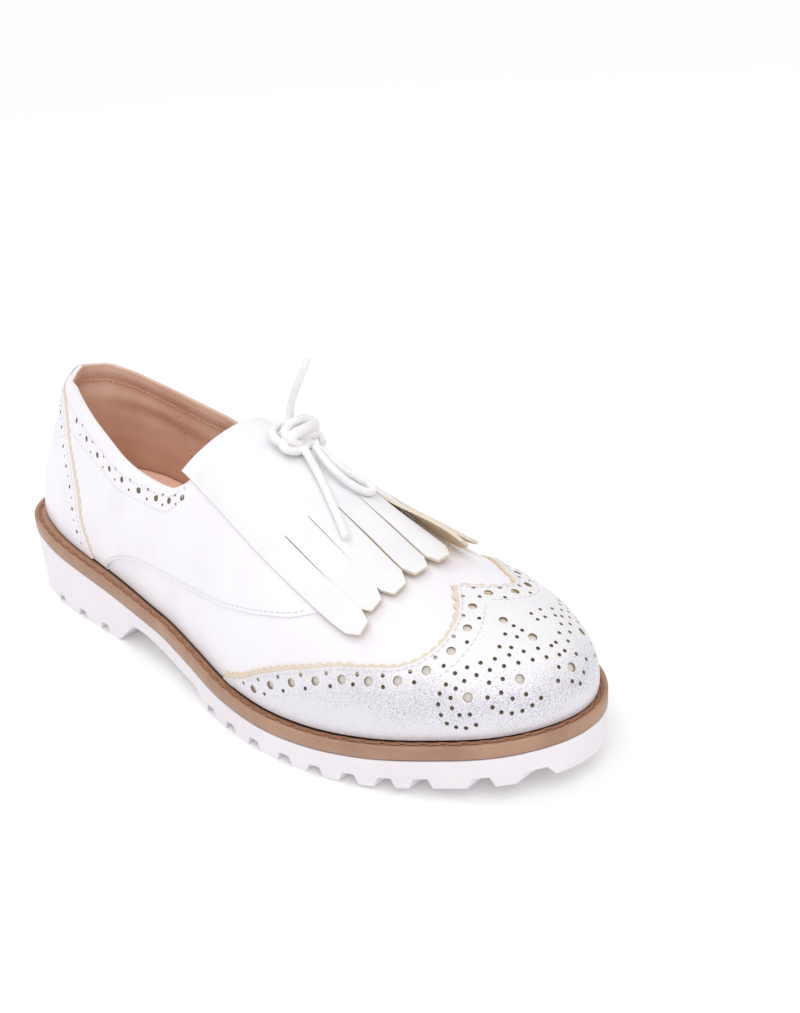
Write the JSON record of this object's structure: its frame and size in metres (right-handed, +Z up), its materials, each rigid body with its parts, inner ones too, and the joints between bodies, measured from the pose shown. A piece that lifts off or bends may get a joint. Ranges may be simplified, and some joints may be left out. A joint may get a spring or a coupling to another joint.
{
  "type": "fringed derby shoe",
  "caption": "Low white leather derby shoe for the right foot with a winged brogue toe cap, a fringed flap tied with a lace knot, a brown welt and a lugged white sole.",
  "frame": {"origin": "on the floor, under the middle of the sole's outline", "axes": "+Z up, the toe points along -Y, +X is the inner (medial) side of the right foot"},
  "size_m": [0.0946, 0.2574, 0.1089],
  "materials": {
    "sole": "matt moulded white",
    "welt": "brown, satin",
    "insole": "peach, soft matt",
    "lining": "tan, soft matt",
    "upper_leather": "white, smooth satin",
    "cap_leather": "white with a silver shimmer",
    "flap_leather": "white with a faint shimmer",
    "raw_edge": "cream cut edge and backing",
    "thread": "pale sewing thread",
    "welt_thread": "orange-brown welt thread",
    "lace": "white round cord"
  },
  "bodies": {
    "root": {"outsole": "sole", "welt": "welt", "insole": "insole", "upper": "upper_leather", "toe_cap": "cap_leather", "heel_counter": "upper_leather", "fringe_flap": "flap_leather", "lace_knot": "lace", "lace_end_up": "lace", "lace_end_down": "lace", "lace_loop": "lace"}
  },
  "joints": []
}
